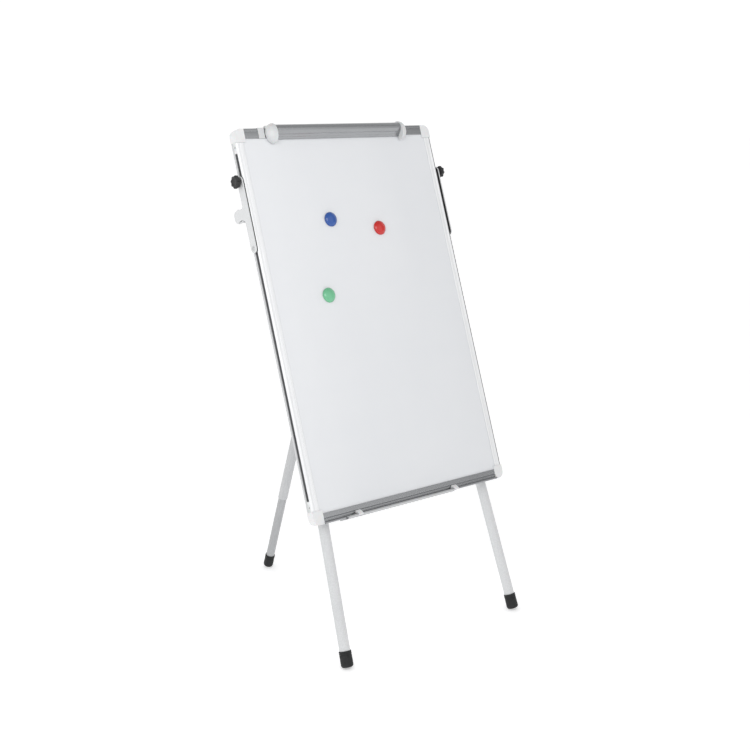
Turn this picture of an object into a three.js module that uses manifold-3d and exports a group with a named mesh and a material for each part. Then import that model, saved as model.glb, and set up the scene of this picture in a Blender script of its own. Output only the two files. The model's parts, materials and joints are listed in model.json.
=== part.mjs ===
// Tripod flipchart easel: a framed magnetic whiteboard with a spring paper clamp, carried by
// two side plates on a crossbar, with two telescopic front legs and one hinged rear leg.
// Millimetres, +Z up, +X to the right of a reader who stands in front (at -Y).
// Inside the board plane, x runs across, y runs backwards from the frame's front face,
// and z runs up the board from its lower edge.
import * as THREE from 'three';
import { mergeVertices } from 'three/addons/utils/BufferGeometryUtils.js';
import Module from 'manifold-3d';

const wasm = await Module();
wasm.setup();

// ---------------------------------------------------------------- driving dimensions
const GAP = 0.3;                       // running and seating clearance
const BOARD_W = 600;
const BOARD_H = 910;
const FRAME_D = 20;                    // frame depth, front to back
const LEAN = THREE.MathUtils.degToRad(18);          // board leans back from vertical
const REAR_LEAN = THREE.MathUtils.degToRad(19.2);   // rear leg leans the other way
const LEG_SPLAY = THREE.MathUtils.degToRad(2.85);   // front legs spread in the board plane
const CORNER = 32;                     // corner cap, along the board's side
const CAP_W = 27;                      // and along its top and bottom edges
const CAP_PROUD = 1;                   // the caps' outer sides stand proud of the rails
const TONGUE_END = 56;                 // corner cap tongue, from the corner along the slot
const SIDE_RAIL_W = 20;
const RAIL_H = 24;                     // top and bottom rails
const SLOT_FRONT = 4.2;                // side channel opening, measured from the front face
const SLOT_BACK = 13.8;
const SLOT_Y = (SLOT_FRONT + SLOT_BACK) / 2;
const PANEL_FRONT = 2.2;               // front of the writing sheet
const PANEL_BACK = 14;
const PANEL_HALF_W = BOARD_W / 2 - 15;
const PANEL_LOW = 13.5;                // panel edge inside the rails' grooves
const SHEET_T = 0.7;
const PLATE_T = 3;
const PLATE_STANDOFF = 3;
const PLATE_TOP = 801;
const PLATE_R = 10;                    // half the plate's width and its end radius
const KNOB_Z = 789;
const STUD_Z = 634;
const CROSS_Y = 42;
const CROSS_Z = 716;
const CROSS_R = 14.5;
const OUTER_R = 14;                    // outer leg tube
const INNER_R = 12.5;                  // inner leg tube
const REAR_SLIM = 1.5;                 // the rear leg's tubes and foot are this much smaller in radius
const WALL = 1.2;
const LEG_Y_AT_BOTTOM = 35.5;          // front leg axis behind the front face, at the lower edge
const LEG_X_AT_BOTTOM = 251.5;
const LEG_BELOW = 322;                 // front leg below the board's lower edge
const HANGER_PIN_Z = 684;
const REAR_PIN_Y = 50;
const REAR_PIN_Z = 682;
const REAR_EAR = 15.5;                 // outer side of the clevis's ears
const FOOT_H = 37;
const FOOT_R = 14.4;
const FOOT_SOLE = 8;                   // rubber under the end of the tube
const CLAMP_HALF = 215;                // half the clamp's length, over its end caps
const CLAMP_CAP_W = 22;
const HINGE_Y = 9;                     // clamp hinge axis
const HINGE_UP = 4.4;                  // and its height above the top rail
const PIN_R = 1.5;
const BARREL = [193, 206];             // hinge barrel of an end cap, across the board
const BEARING = [165, 177];            // bearing of a clamp bracket
const HOOK = [217, 234];               // hook of a clamp bracket over the rail's face
const TRAY_LEFT = -213;
const TRAY_RIGHT = 118;
const TRAY_BACK = 22;                  // far edge of the folded tray, clear of the front legs
const CLIP_X = [-177, 125];
const BEAD_Y = -9.9;                   // the tray's hinge bead, in front of the bottom rail
const BEAD_Z = 2.2;
const BEAD_R = 2.9;
const MAGNETS = [                      // name, colour, across and up the board
  ['blue', 0x1f4f9e, -75, 686],
  ['red', 0xc8201c, 70, 656],
  ['green', 0x6fbf93, -127, 508],
];
const SEGS = 20;                       // facets around a tube
const SMALL_SEGS = 12;                 // and around a pin or a bore

const X = new THREE.Vector3(1, 0, 0);
const Y = new THREE.Vector3(0, 1, 0);
const Z = new THREE.Vector3(0, 0, 1);

// ---------------------------------------------------------------- materials and meshes
const FINISH = {
  enamel: [0xf0f2f5, 0.18, 0.0], core: [0xc9b28a, 0.9, 0.0], zinc: [0xb5b8bb, 0.45, 0.8],
  silver: [0xdcdee1, 0.35, 0.6], aluminium: [0x8d9093, 0.38, 0.8], abs: [0xeeeeee, 0.4, 0.0],
  steel: [0xb9bcc0, 0.3, 0.9], powder: [0xdcdee0, 0.45, 0.1], rubber: [0x1b1b1c, 0.75, 0.0],
  black: [0x141415, 0.4, 0.0], nylon: [0xd8d8d2, 0.6, 0.0], magnet: [0x3c3d40, 0.5, 0.3],
};

function mesh(name, geometry, finish, color) {
  const [base, roughness, metalness] = FINISH[finish];
  const material = new THREE.MeshStandardMaterial({ color: color ?? base, roughness, metalness });
  const result = new THREE.Mesh(geometry, material);
  result.name = name;
  return result;
}

function place(object, x, y, z) {
  object.position.set(x, y, z);
  return object;
}

// ---------------------------------------------------------------- outlines
const points = (list) => new THREE.Shape(list.map(([a, b]) => new THREE.Vector2(a, b)));

function arc(cx, cy, r, from, to, steps) {
  const list = [];
  for (let i = 0; i <= steps; i += 1) {
    const angle = THREE.MathUtils.degToRad(from + ((to - from) * i) / steps);
    list.push([cx + r * Math.cos(angle), cy + r * Math.sin(angle)]);
  }
  return list;
}

// A flat outline becomes a bar: [section axis 1, section axis 2] to the axes named below.
const extrude = (shape, depth) => new THREE.ExtrudeGeometry(shape, { depth, bevelEnabled: false });

function alongX(shape, from, to) {     // outline in (y, z)
  const basis = new THREE.Matrix4().makeBasis(Y, Z, X);
  return extrude(shape, to - from).applyMatrix4(basis).translate(from, 0, 0);
}

function alongY(shape, from, to) {     // outline in (x, z)
  const basis = new THREE.Matrix4().makeBasis(X, Z, Y.clone().negate());
  return extrude(shape, to - from).applyMatrix4(basis).translate(0, to, 0);
}

function alongZ(shape, from, to) {     // outline in (x, y)
  return extrude(shape, to - from).translate(0, 0, from);
}

function box(x0, x1, y0, y1, z0, z1) {
  const geometry = new THREE.BoxGeometry(x1 - x0, y1 - y0, z1 - z0);
  return geometry.translate((x0 + x1) / 2, (y0 + y1) / 2, (z0 + z1) / 2);
}

// A turned piece: profile points are [radius, height]; its axis is Z.
function turned(profile, segs = SEGS) {
  const list = profile.map(([r, h]) => new THREE.Vector2(r, h));
  return new THREE.LatheGeometry(list, segs).rotateX(Math.PI / 2);
}

function tube(outer, inner, from, to) {
  return turned([[inner, from], [outer, from], [outer, to], [inner, to], [inner, from]]);
}

const rod = (r, from, to, segs = SEGS) => turned([[0, from], [r, from], [r, to], [0, to]], segs);
const toX = (geometry) => geometry.rotateY(Math.PI / 2);
const toY = (geometry) => geometry.rotateX(-Math.PI / 2);

// ---------------------------------------------------------------- booleans
function solid(geometry) {
  const bare = geometry.clone();
  bare.deleteAttribute('normal');
  bare.deleteAttribute('uv');
  const merged = mergeVertices(bare, 1e-4);
  const vertProperties = new Float32Array(merged.attributes.position.array);
  const triVerts = new Uint32Array(merged.index.array);
  return new wasm.Manifold(new wasm.Mesh({ numProp: 3, vertProperties, triVerts }));
}

function toGeometry(manifold) {
  const result = manifold.getMesh();
  const geometry = new THREE.BufferGeometry();
  geometry.setAttribute('position', new THREE.BufferAttribute(result.vertProperties, 3));
  geometry.setIndex(new THREE.BufferAttribute(result.triVerts, 1));
  return geometry;
}

function cut(base, ...tools) {
  return toGeometry(tools.reduce((sum, tool) => sum.subtract(solid(tool)), solid(base)));
}

function join(base, ...others) {
  return toGeometry(others.reduce((sum, other) => sum.add(solid(other)), solid(base)));
}

const common = (a, b) => toGeometry(solid(a).intersect(solid(b)));

// ---------------------------------------------------------------- board panel and frame
function addPanel(board) {
  const sheetBack = PANEL_FRONT + SHEET_T;
  const backFront = PANEL_BACK - SHEET_T;
  const layer = (y0, y1) => {
    return box(-PANEL_HALF_W, PANEL_HALF_W, y0, y1, PANEL_LOW, BOARD_H - PANEL_LOW);
  };
  board.add(mesh('writing_surface', layer(PANEL_FRONT, sheetBack), 'enamel'));
  board.add(mesh('board_core', layer(sheetBack + GAP, backFront - GAP), 'core'));
  board.add(mesh('backing_sheet', layer(backFront, PANEL_BACK), 'zinc'));
}

// Side rail section in (x, y): a rolled front lip with a bead groove, a T-channel that opens
// sideways for the side plates, and a groove on the inner side for the panel.
function sideRailShape(side) {
  const w = BOARD_W / 2;
  const list = [
    [w - SIDE_RAIL_W, 0.5], [w - SIDE_RAIL_W + 1, 0], [w - 9.6, 0], [w - 9.3, 0.8], [w - 8.9, 0],
    ...arc(w - 4, 4, 4, -90, 0, 4), [w, SLOT_FRONT], [w - 2.4, SLOT_FRONT], [w - 2.4, 2.4],
    [w - 12.4, 2.4], [w - 12.4, 17.4], [w - 2.4, 17.4], [w - 2.4, SLOT_BACK], [w, SLOT_BACK],
    [w, FRAME_D - 1], [w - 1, FRAME_D], [w - 15, FRAME_D], [w - 15, 16.6],
    [w - SIDE_RAIL_W + 2, 16.6], [w - SIDE_RAIL_W + 2, PANEL_BACK + GAP],
    [w - 14.4, PANEL_BACK + GAP], [w - 14.4, PANEL_FRONT - GAP],
    [w - SIDE_RAIL_W, PANEL_FRONT - GAP],
  ];
  return points(list.map(([x, y]) => [side * x, y]));
}

// Bottom rail section in (y, z): flat face, a fine groove, a rib, the clip groove and a
// lower lip that stands forward.
function bottomRailShape() {
  return points([
    [FRAME_D, 0.6], [FRAME_D - 0.6, 0], [-4, 0], ...arc(-4, 2.5, 2.5, 270, 90, 4), [-3, 5],
    [3, 5.4], [3, 7.8], [-1.2, 7.8], [-1.6, 8.2], [-1.6, 11], [-1.2, 11.4], [1.5, 11.6],
    [1.5, 12.6], [0, 13], [0, RAIL_H - 0.6], [0.6, RAIL_H], [PANEL_FRONT - GAP, RAIL_H],
    [PANEL_FRONT - GAP, 13], [PANEL_BACK + GAP, 13], [PANEL_BACK + GAP, RAIL_H - 2],
    [16.6, RAIL_H - 2], [16.6, 11], [FRAME_D, 11],
  ]);
}

// Top rail section in (y, z): flat face with a fine groove, and a slot along its top edge
// for the clamp's brackets.
function topRailShape() {
  const t = BOARD_H;
  return points([
    [0.6, t - RAIL_H], [0, t - RAIL_H + 0.6], [0, t - 8.4], [0.8, t - 8], [0, t - 7.6],
    [0, t - 1], [1, t], [6.5, t], [6.5, t - 1.6], [4, t - 1.6], [4, t - 7], [14, t - 7],
    [14, t - 1.6], [11.5, t - 1.6], [11.5, t], [FRAME_D - 0.6, t], [FRAME_D, t - 0.6],
    [FRAME_D, t - 11], [16.6, t - 11], [16.6, t - RAIL_H + 2], [PANEL_BACK + GAP, t - RAIL_H + 2],
    [PANEL_BACK + GAP, t - 13], [PANEL_FRONT - GAP, t - 13], [PANEL_FRONT - GAP, t - RAIL_H],
  ]);
}

// Corner cap: a rounded block over the rail ends, with a tongue that closes the slot's end
// and a plug that fills the side rail's channel.
function cornerCap(sx, sz) {
  const w = BOARD_W / 2;
  const flip = (x, z) => [sx * x, sz > 0 ? z : BOARD_H - z];
  const side = w + CAP_PROUD;
  const outline = [
    [w - CAP_W, BOARD_H - CORNER], [side, BOARD_H - CORNER],
    ...arc(side - 17, BOARD_H - 17, 17, 0, 90, 6), [w - CAP_W, BOARD_H],
  ];
  const block = alongY(points(outline.map(([x, z]) => flip(x, z))), -0.8, FRAME_D + 0.8);
  const z0 = BOARD_H - TONGUE_END;
  const z1 = BOARD_H - CORNER + 2;
  const part = (x0, x1, y0, y1) => {
    const [xa, za] = flip(x0, z0);
    const [xb, zb] = flip(x1, z1);
    return box(Math.min(xa, xb), Math.max(xa, xb), y0, y1, Math.min(za, zb), Math.max(za, zb));
  };
  const tongue = part(w - 4, w - 0.4, SLOT_FRONT + GAP, SLOT_BACK - GAP);
  const plug = part(w - 12, w - 2.8, 2.8, 17);
  const room = box(-PANEL_HALF_W - GAP, PANEL_HALF_W + GAP, PANEL_FRONT - GAP, PANEL_BACK + GAP,
    PANEL_LOW - GAP, BOARD_H - PANEL_LOW + GAP);
  return cut(join(block, tongue, plug), room);
}

function addFrame(board) {
  const reach = BOARD_W / 2 - CAP_W - GAP;
  for (const [name, side] of [['left', -1], ['right', 1]]) {
    const rail = alongZ(sideRailShape(side), CORNER + GAP, BOARD_H - CORNER - GAP);
    board.add(mesh(`side_rail_${name}`, rail, 'silver'));
    board.add(mesh(`corner_cap_top_${name}`, cornerCap(side, 1), 'abs'));
    board.add(mesh(`corner_cap_bottom_${name}`, cornerCap(side, -1), 'abs'));
  }
  board.add(mesh('top_rail', alongX(topRailShape(), -reach, reach), 'aluminium'));
  board.add(mesh('bottom_rail', alongX(bottomRailShape(), -reach, reach), 'aluminium'));
}

// ---------------------------------------------------------------- paper clamp
// Bar section in (y, up from the top edge): a bowed jaw with a return over the top rail.
function clampBarShape() {
  const outer = [
    [2.5, 6.4], [-6, 6.4], [-11.5, 4.6], [-15.5, 0.5], [-17.2, -4.5], [-16.6, -9.6],
    [-13.6, -15.4], [-8.5, -21], [-3.6, -24.8], [-2.2, -27.1], [1.6, -27.5],
  ];
  const inner = [
    [1.6, -25.9], [-1, -25.5], [-2.4, -23.6], [-7, -19.5], [-11.8, -14.4], [-14.4, -9.2],
    [-14.9, -4.5], [-13.6, -0.6], [-10.4, 2.6], [-5.6, 4.2], [2.5, 4.2],
  ];
  return points([...outer, ...inner].map(([y, up]) => [y, BOARD_H + up]));
}

// A stretch across the board, [near, far] from its middle, as ordered x limits on one side.
const across = (side, [near, far]) => (side > 0 ? [near, far] : [-far, -near]);

// A rod along the clamp's hinge axis.
function hingeRod(side, stretch, r, segs = SEGS) {
  return toX(rod(r, ...across(side, stretch), segs)).translate(0, HINGE_Y, BOARD_H + HINGE_UP);
}

// End cap: a rounded nose over the end of the bar, with a hinge barrel behind it.
function clampCap(side) {
  const egg = new THREE.SphereGeometry(1, 18, 10).scale(CLAMP_CAP_W * 0.95, 19, 24);
  egg.translate(side * (CLAMP_HALF - CLAMP_CAP_W * 0.95), -3.2, BOARD_H - 14);
  const [x0, x1] = across(side, [CLAMP_HALF - CLAMP_CAP_W, CLAMP_HALF + 20]);
  const keep = box(x0, x1, -60, HINGE_Y, 800, 1000);
  const boardRoom = box(-400, 400, -0.7, 60, 700, BOARD_H + 0.9);
  const whole = join(cut(common(egg, keep), boardRoom), hingeRod(side, BARREL, 4.1));
  return cut(whole, hingeRod(side, [100, 300], PIN_R + GAP, SMALL_SEGS));
}

// Bracket: a runner in the rail's slot, with the pin's bearing at its inner end, behind the
// bar. The left one ends in a thin hook over the rail's face.
function clampBracket(side) {
  const t = BOARD_H;
  const hook = points([
    [-1.5, t - 23.7], [-1.5, t + 0.5], [-0.7, t + 1.3], [12, t + 1.3], [12, t + GAP],
    [-GAP, t + GAP], [-GAP, t - 23.7],
  ]);
  const upright = (stretch, low, high) => box(...across(side, stretch), 7, 11, t + low, t + high);
  const runner = upright([BEARING[0], HOOK[1]], -5, -GAP);
  const end = side < 0 ? [alongX(hook, ...across(side, HOOK)), upright(HOOK, -1, 1)] : [];
  const bearing = [upright(BEARING, -1, HINGE_UP), hingeRod(side, BEARING, 3.4)];
  const whole = join(runner, ...end, ...bearing);
  return cut(whole, hingeRod(side, [100, 210], PIN_R + GAP, SMALL_SEGS));
}

// Torsion spring: three turns around the hinge pin.
class TorsionSpring extends THREE.Curve {
  getPoint(t, target = new THREE.Vector3()) {
    const turns = 3.25;
    const radius = 2.9;
    const angle = turns * 2 * Math.PI * t;
    return target.set(9 * t, radius * Math.cos(angle), radius * Math.sin(angle));
  }
}

function clampSpring() {
  const section = points(arc(0, 0, 0.5, 0, 288, 4));
  return new THREE.ExtrudeGeometry(section, { steps: 30, extrudePath: new TorsionSpring() });
}

function addClamp(board) {
  const barEnd = CLAMP_HALF - CLAMP_CAP_W - GAP;
  board.add(mesh('clamp_bar', alongX(clampBarShape(), -barEnd, barEnd), 'aluminium'));
  for (const [name, side] of [['left', -1], ['right', 1]]) {
    board.add(mesh(`clamp_end_cap_${name}`, clampCap(side), 'abs'));
    board.add(mesh(`clamp_bracket_${name}`, clampBracket(side), 'abs'));
    const pin = hingeRod(side, [BEARING[0] - 1, BARREL[1] - 0.5], PIN_R, SMALL_SEGS);
    board.add(mesh(`clamp_pin_${name}`, pin, 'steel'));
    const spring = mesh(`clamp_spring_${name}`, clampSpring(), 'steel');
    const [x] = across(side, [BEARING[1] + 4, BEARING[1] + 13]);
    board.add(place(spring, x, HINGE_Y, BOARD_H + HINGE_UP));
  }
}

// ---------------------------------------------------------------- pen tray
// The tray hangs from a round bead along its front edge, folded back under the board. Its far
// lip points down there, and up when the tray is swung out in front.
function traySection() {
  return points([
    ...arc(BEAD_Y, BEAD_Z, BEAD_R, -40, 230, 9), [-10.6, -2.3], [TRAY_BACK - 1.6, -2.3],
    [TRAY_BACK - 1.6, -4.6], [TRAY_BACK, -4.6], [TRAY_BACK, -0.7], [-7.4, -0.7],
  ]);
}

// One clip holds the bare bead in a notch, the other holds a stub beyond the tray's end.
function penTray() {
  const body = alongX(traySection(), TRAY_LEFT, TRAY_RIGHT);
  const notch = box(CLIP_X[0] - 7.5, CLIP_X[0] + 7.5, -14, -1, -5, 6);
  const bead = points(arc(BEAD_Y, BEAD_Z, BEAD_R, 0, 330, 11));
  const bare = alongX(bead, CLIP_X[0] - 9, CLIP_X[0] + 9);
  const stub = alongX(bead, TRAY_RIGHT - 2, CLIP_X[1]);
  return join(cut(body, notch), bare, stub);
}

// Clip: snaps into the bottom rail's groove, and its jaw holds the tray's bead.
function trayClip(x) {
  const jaw = BEAD_R + GAP;
  const shape = points([
    [2.7, 5.7], [2.7, 7.5], [-1.9, 7.5], [-1.9, 11.6], [-3.4, 12.4], [-6, 11.6], [-10.4, 8.4],
    ...arc(BEAD_Y, BEAD_Z, jaw + 1.4, 115, 200, 4), ...arc(BEAD_Y, BEAD_Z, jaw, 200, 60, 6),
    [-7, 5.6],
  ]);
  return alongX(shape, x - 6.5, x + 6.5);
}

function addTray(board) {
  board.add(mesh('pen_tray', penTray(), 'silver'));
  CLIP_X.forEach((x, i) => board.add(mesh(`tray_clip_${i + 1}`, trayClip(x), 'abs')));
}

// ---------------------------------------------------------------- magnets
function addMagnets(board) {
  const cap = [
    [0, 9.6], [7, 9.1], [13, 7.3], [16.8, 4], [17.5, 2], [17.2, 0], [12.4, 0],
    [12.4, 4.6], [0, 4.6],
  ];
  for (const [name, color, x, z] of MAGNETS) {
    const face = PANEL_FRONT - GAP;
    const shell = turned(cap.slice().reverse(), 20).rotateX(Math.PI / 2);
    board.add(place(mesh(`magnet_cap_${name}`, shell, 'abs', color), x, face, z));
    const disc = rod(12, 0.1, 4.3, 20).rotateX(Math.PI / 2);
    board.add(place(mesh(`magnet_disc_${name}`, disc, 'magnet'), x, face, z));
  }
}

// ---------------------------------------------------------------- side plates and knobs
// Plate outline in (y, z): a strap over the side channel, with a lug behind it that holds the
// crossbar's end. The lug's underside is hollowed beside its drooping tip.
function sidePlateShape() {
  const front = SLOT_Y - PLATE_R;
  const back = SLOT_Y + PLATE_R;
  return points([
    [front, STUD_Z], [front, PLATE_TOP - PLATE_R],
    ...arc(SLOT_Y, PLATE_TOP - PLATE_R, PLATE_R, 180, 0, 8),
    [back, CROSS_Z + 20], ...arc(back + 6, CROSS_Z + 20, 6, 180, 270, 3),
    ...arc(CROSS_Y + 4, CROSS_Z + 3, 11, 90, 0, 4), [CROSS_Y + 15, CROSS_Z - 5],
    ...arc(CROSS_Y + 8, CROSS_Z - 9, 5, 0, -120, 4),
    ...arc(33, CROSS_Z - 27.5, 17, 60, 120, 4),
    [back, CROSS_Z - 16], [back, STUD_Z], ...arc(SLOT_Y, STUD_Z, PLATE_R, 0, -180, 8),
  ]);
}

// Slide strip outline in (y, z): as the plate's strap, a little smaller all round.
function stripShape() {
  const r = PLATE_R - GAP;
  return points([
    ...arc(SLOT_Y, PLATE_TOP - PLATE_R, r, 180, 0, 8), ...arc(SLOT_Y, STUD_Z, r, 0, -180, 8),
  ]);
}

// Star knob on a threaded stud. Its axis is X, and it points outwards.
function starKnob() {
  const lobes = 8;
  const steps = lobes * 5;
  const outline = [];
  for (let i = 0; i < steps; i += 1) {
    const angle = (2 * Math.PI * i) / steps;
    const r = 13 + 1.6 * Math.cos(lobes * angle);
    outline.push([r * Math.cos(angle), r * Math.sin(angle)]);
  }
  const bevel = { depth: 8, bevelThickness: 1.2, bevelSize: 1.2, bevelSegments: 1, bevelOffset: -0.6 };
  const head = new THREE.ExtrudeGeometry(points(outline), bevel).translate(0, 0, 6.4);
  const hub = rod(8, 0, 7);
  const stud = rod(3, -17.4, 1, SMALL_SEGS);
  return toX(join(head, hub, stud));
}

function addSideHardware(stand) {
  const outside = BOARD_W / 2 + PLATE_STANDOFF;
  for (const [name, side] of [['left', -1], ['right', 1]]) {
    const holes = [[KNOB_Z, 3.3], [STUD_Z, 3.3]].map(([z, r]) => {
      return toX(rod(r, -400, 400, SMALL_SEGS)).translate(0, SLOT_Y, z);
    });
    const studHole = toX(rod(6.3, -400, 400)).translate(0, SLOT_Y, STUD_Z);
    const x0 = side > 0 ? outside : -outside - PLATE_T;
    const plate = cut(alongX(sidePlateShape(), x0, x0 + PLATE_T), ...holes);
    stand.add(mesh(`side_plate_${name}`, plate, 'powder'));

    const turn = side > 0 ? 0 : Math.PI;
    const knob = mesh(`clamp_knob_${name}`, starKnob(), 'black');
    knob.rotation.z = turn;
    stand.add(place(knob, side * (outside + PLATE_T + GAP), SLOT_Y, KNOB_Z));

    const nutShape = box(-8.8, -3.6, -6.4, 6.4, -7, 7);
    const nut = mesh(`slot_nut_${name}`, cut(nutShape, toX(rod(3.3, -20, 20, SMALL_SEGS))), 'steel');
    nut.rotation.z = turn;
    stand.add(place(nut, side * BOARD_W / 2, SLOT_Y, KNOB_Z));

    const [s0, s1] = across(side, [BOARD_W / 2 + GAP, outside - GAP]);
    const spacer = cut(alongX(stripShape(), s0, s1), holes[0], studHole);
    stand.add(mesh(`plate_spacer_${name}`, spacer, 'black'));

    // Guide stud: T-head in the channel, shoulder against the plate, riveted outside.
    const studShape = turned([
      [0, -8.6], [6, -8.6], [6, -3.4], [3, -3.4], [3, GAP], [6, GAP], [6, 2.7], [3, 2.7],
      [3, 6.3], [4.8, 6.3], [4, 7.8], [0, 8.2],
    ], SMALL_SEGS);
    const stud = mesh(`guide_stud_${name}`, toX(studShape), 'steel');
    stud.rotation.z = turn;
    stand.add(place(stud, side * BOARD_W / 2, SLOT_Y, STUD_Z));
  }
}

// ---------------------------------------------------------------- crossbar and brackets
// Hanger outline in (y, z): an inverted U that sits over the crossbar.
function hangerShape() {
  const inner = CROSS_R + GAP;
  const outer = inner + 2;
  const low = HANGER_PIN_Z - 9;
  return points([
    [CROSS_Y - outer, low], ...arc(CROSS_Y, CROSS_Z, outer, 180, 0, 12), [CROSS_Y + outer, low],
    [CROSS_Y + inner, low], ...arc(CROSS_Y, CROSS_Z, inner, 0, 180, 12), [CROSS_Y - inner, low],
  ]);
}

function rivetPin(half) {              // a pin with a head outside each cheek; axis Z
  const top = half + GAP;
  return turned([
    [0, -top - 1.6], [4.2, -top - 1.6], [5, -top - 0.4], [5, -top], [3, -top],
    [3, top], [5, top], [5, top + 0.4], [4.2, top + 1.6], [0, top + 1.6],
  ], SMALL_SEGS);
}

function legXAt(z) {                   // front leg axis, half-spread at a height up the board
  return LEG_X_AT_BOTTOM - z * Math.tan(LEG_SPLAY);
}

function addCrossbar(stand) {
  const end = BOARD_W / 2 + PLATE_STANDOFF - GAP;
  const bar = toX(tube(CROSS_R, CROSS_R - 1.5, -end, end));
  stand.add(place(mesh('crossbar', bar, 'powder'), 0, CROSS_Y, CROSS_Z));

  const cheek = CROSS_R + GAP + 2;
  for (const [name, side] of [['left', -1], ['right', 1]]) {
    const x = side * legXAt(HANGER_PIN_Z);
    const hole = toY(rod(3.3, -60, 60, SMALL_SEGS)).translate(x, CROSS_Y, HANGER_PIN_Z);
    const hanger = cut(alongX(hangerShape(), x - 12, x + 12), hole);
    stand.add(mesh(`leg_hanger_${name}`, hanger, 'powder'));
    const pin = mesh(`leg_pin_${name}`, toY(rivetPin(cheek)), 'steel');
    stand.add(place(pin, x, CROSS_Y, HANGER_PIN_Z));
  }
}

// Rear clevis: a collar on the crossbar with two ears below it that hold the rear leg's pin.
function rearClevis() {
  const ringR = CROSS_R + GAP + 2.2;
  const earR = 9;
  const dy = REAR_PIN_Y - CROSS_Y;
  const dz = REAR_PIN_Z - CROSS_Z;
  const slope = THREE.MathUtils.radToDeg(Math.atan2(dz, dy));
  const spread = THREE.MathUtils.radToDeg(Math.acos((ringR - earR) / Math.hypot(dy, dz)));
  const outline = points([
    ...arc(0, 0, ringR, slope + spread, slope - spread + 360, 12),
    ...arc(dy, dz, earR, slope - spread, slope + spread, 5),
  ]);
  const half = REAR_EAR;
  const collar = toX(rod(ringR, -half, half));
  const ears = [[-half, 2.2 - half], [half - 2.2, half]].map(([from, to]) => alongX(outline, from, to));
  const bore = toX(rod(CROSS_R + GAP, -30, 30));
  const hole = toX(rod(3.3, -30, 30, SMALL_SEGS)).translate(0, dy, dz);
  return cut(join(collar, ...ears), bore, hole);
}

function addRearHinge(stand) {
  stand.add(place(mesh('rear_clevis', rearClevis(), 'powder'), 0, CROSS_Y, CROSS_Z));
  const pin = mesh('rear_hinge_pin', toX(rivetPin(REAR_EAR)), 'steel');
  stand.add(place(pin, 0, REAR_PIN_Y, REAR_PIN_Z));
}

// ---------------------------------------------------------------- legs
// A leg hangs down its own -Z axis from its pin at the origin. outerEnd is where the outer
// tube stops, innerTop where the inner tube starts, and total is the length down to the sole.
// A slim leg has smaller radii all over.
function addLeg(leg, name, pinAxis, outerEnd, innerTop, total, slim = 0) {
  const hole = pinAxis(rod(3.3, -30, 30, SMALL_SEGS));
  const outerR = OUTER_R - slim;
  const innerR = INNER_R - slim;
  const footR = FOOT_R - slim;
  const outer = cut(tube(outerR, outerR - WALL, -outerEnd, 10), hole);
  leg.add(mesh(`${name}_outer_tube`, outer, 'powder'));
  const innerEnd = total - FOOT_SOLE - GAP;
  const inner = tube(innerR, innerR - WALL, -innerEnd, -innerTop);
  const sliding = new THREE.Group();
  leg.add(sliding);
  sliding.add(mesh(`${name}_inner_tube`, inner, 'powder'));

  // Twist lock: an expanding plug in the outer tube, turned by the inner tube's end.
  const bore = innerR - WALL - GAP;
  const plug = outerR - WALL - 0.4;
  const lock = turned([[0, -20], [bore, -20], [bore, GAP], [plug, GAP], [plug, 18], [9, 22],
    [0, 22]]);
  sliding.add(place(mesh(`${name}_twist_lock`, lock, 'nylon'), 0, 0, -innerTop));

  const foot = turned([
    [0, 0], [footR - 6.4, 0], ...arc(footR - 6.4, 6.4, 6.4, -60, -10, 3), [footR, FOOT_H - 2],
    [footR - 0.6, FOOT_H], [innerR + GAP, FOOT_H], [innerR + GAP, FOOT_SOLE], [0, FOOT_SOLE],
  ]);
  sliding.add(place(mesh(`${name}_foot`, foot, 'rubber'), 0, 0, -total));
  return sliding;
}

// Front legs hang in a plane that meets the board's plane at a slight angle, so that they
// pass close behind the bottom rail.
function frontLeg(name, side) {
  const drop = CROSS_Z - HANGER_PIN_Z;
  const tilt = Math.atan((CROSS_Y - LEG_Y_AT_BOTTOM) / CROSS_Z);
  const leg = new THREE.Group();
  const total = (HANGER_PIN_Z + LEG_BELOW) / (Math.cos(tilt) * Math.cos(LEG_SPLAY));
  const outerEnd = (HANGER_PIN_Z - 25) / (Math.cos(tilt) * Math.cos(LEG_SPLAY));
  addLeg(leg, name, toY, outerEnd, outerEnd - 225, total);
  leg.rotation.set(-tilt, side * -LEG_SPLAY, 0);
  leg.position.set(side * legXAt(HANGER_PIN_Z), CROSS_Y - drop * Math.tan(tilt), HANGER_PIN_Z);
  return leg;
}

// ---------------------------------------------------------------- assembly
function lowest(object) {
  return new THREE.Box3().setFromObject(object, true).min.z;
}

const easel = new THREE.Group();
const boardPlane = new THREE.Group();
boardPlane.rotation.x = -LEAN;
easel.add(boardPlane);
addPanel(boardPlane);
addFrame(boardPlane);
addClamp(boardPlane);
addTray(boardPlane);
addMagnets(boardPlane);
addSideHardware(boardPlane);
addCrossbar(boardPlane);
addRearHinge(boardPlane);
boardPlane.add(frontLeg('front_leg_left', -1));
boardPlane.add(frontLeg('front_leg_right', 1));

// Stand the front feet on the floor, then let the rear leg reach it.
easel.updateMatrixWorld(true);
boardPlane.position.z = -lowest(easel.getObjectByName('front_leg_left_foot'));
easel.updateMatrixWorld(true);
const rearPin = easel.getObjectByName('rear_hinge_pin').getWorldPosition(new THREE.Vector3());
const rearTotal = rearPin.z / Math.cos(REAR_LEAN);
const rearLeg = new THREE.Group();
const rearSliding = addLeg(rearLeg, 'rear_leg', toX, rearTotal - 222, rearTotal - 424, rearTotal,
  REAR_SLIM);
rearLeg.rotation.x = REAR_LEAN;
rearLeg.position.copy(rearPin);
easel.add(rearLeg);
easel.updateMatrixWorld(true);
rearSliding.position.z = -lowest(easel.getObjectByName('rear_leg_foot')) / Math.cos(REAR_LEAN);

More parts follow.
